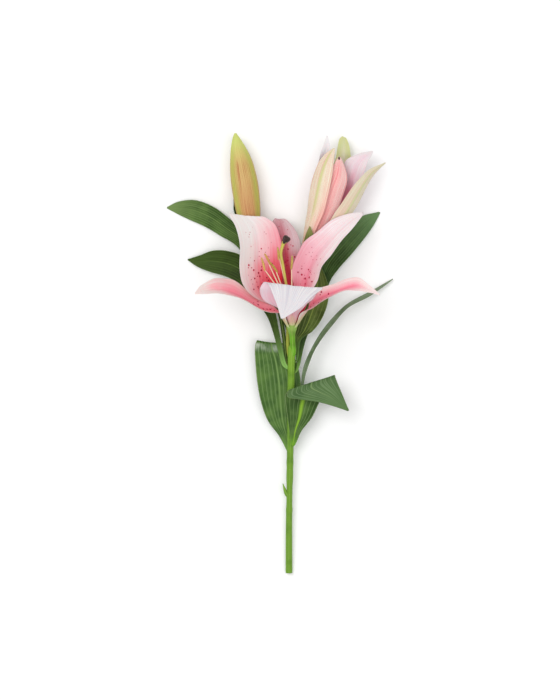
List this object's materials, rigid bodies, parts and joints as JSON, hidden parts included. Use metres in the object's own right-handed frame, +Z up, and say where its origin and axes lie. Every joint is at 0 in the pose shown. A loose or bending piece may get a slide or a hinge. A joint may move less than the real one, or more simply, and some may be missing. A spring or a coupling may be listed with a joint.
{
  "type": "cut lily stem",
  "caption": "Cut lily lying on its side: a leafy green stem with one open pink bloom, one half-open bloom and one closed bud.",
  "frame": {"origin": "centre of the lying plant's footprint, on the surface that it lies on", "axes": "+Y along the stem from the cut end towards the blooms, +Z up from the surface, +X to the right of the stem"},
  "size_m": [0.2262, 0.439, 0.1144],
  "materials": {
    "stem": "living green stem, satin, paler at the joints",
    "leaf": "dark green leaf with fine lengthwise veins, satin",
    "petal": "white margin fading to rose pink and a crimson throat, matte",
    "sepal": "white tip fading to rose pink, matte",
    "pistil": "yellow-green style with a dark brown stigma",
    "filament": "pale cream pink, satin",
    "anther": "tan, powdery matte",
    "bud": "yellow-green with a peach flush, satin",
    "half_open_tepal": "cream and salmon pink with pale green tips, matte"
  },
  "bodies": {
    "root": {"main_stem": "stem", "bloom_pedicel": "stem", "half_open_pedicel": "stem", "closed_bud_pedicel": "stem", "leaf_lower_left": "leaf", "leaf_folded": "leaf", "leaf_narrow": "leaf", "leaf_right_inner": "leaf", "leaf_upper_right": "leaf", "leaf_upper_left": "leaf", "leaf_mid_left": "leaf", "leaf_closed_bud": "leaf", "leaf_half_open": "leaf", "petal_upper_left": "petal", "petal_upper_right": "petal", "petal_front": "petal", "sepal_back": "sepal", "sepal_left": "sepal", "sepal_right": "sepal", "bloom_pistil": "pistil", "filament_left_outer": "filament", "filament_left_middle": "filament", "filament_left_inner": "filament", "filament_back": "filament", "filament_right": "filament", "filament_front": "filament", "anther_left_outer": "anther", "anther_left_middle": "anther", "anther_left_inner": "anther", "anther_back": "anther", "anther_right": "anther", "anther_front": "anther", "closed_bud": "bud", "half_open_sepal_left": "half_open_tepal", "half_open_sepal_right": "half_open_tepal", "half_open_sepal_under": "half_open_tepal", "half_open_petal_top": "half_open_tepal", "half_open_petal_right": "half_open_tepal", "half_open_petal_left": "half_open_tepal", "half_open_pistil": "pistil", "half_open_stamen_1": "anther", "half_open_stamen_2": "anther", "half_open_stamen_3": "anther", "half_open_stamen_4": "anther", "half_open_stamen_5": "anther", "half_open_stamen_6": "anther"}
  },
  "joints": []
}
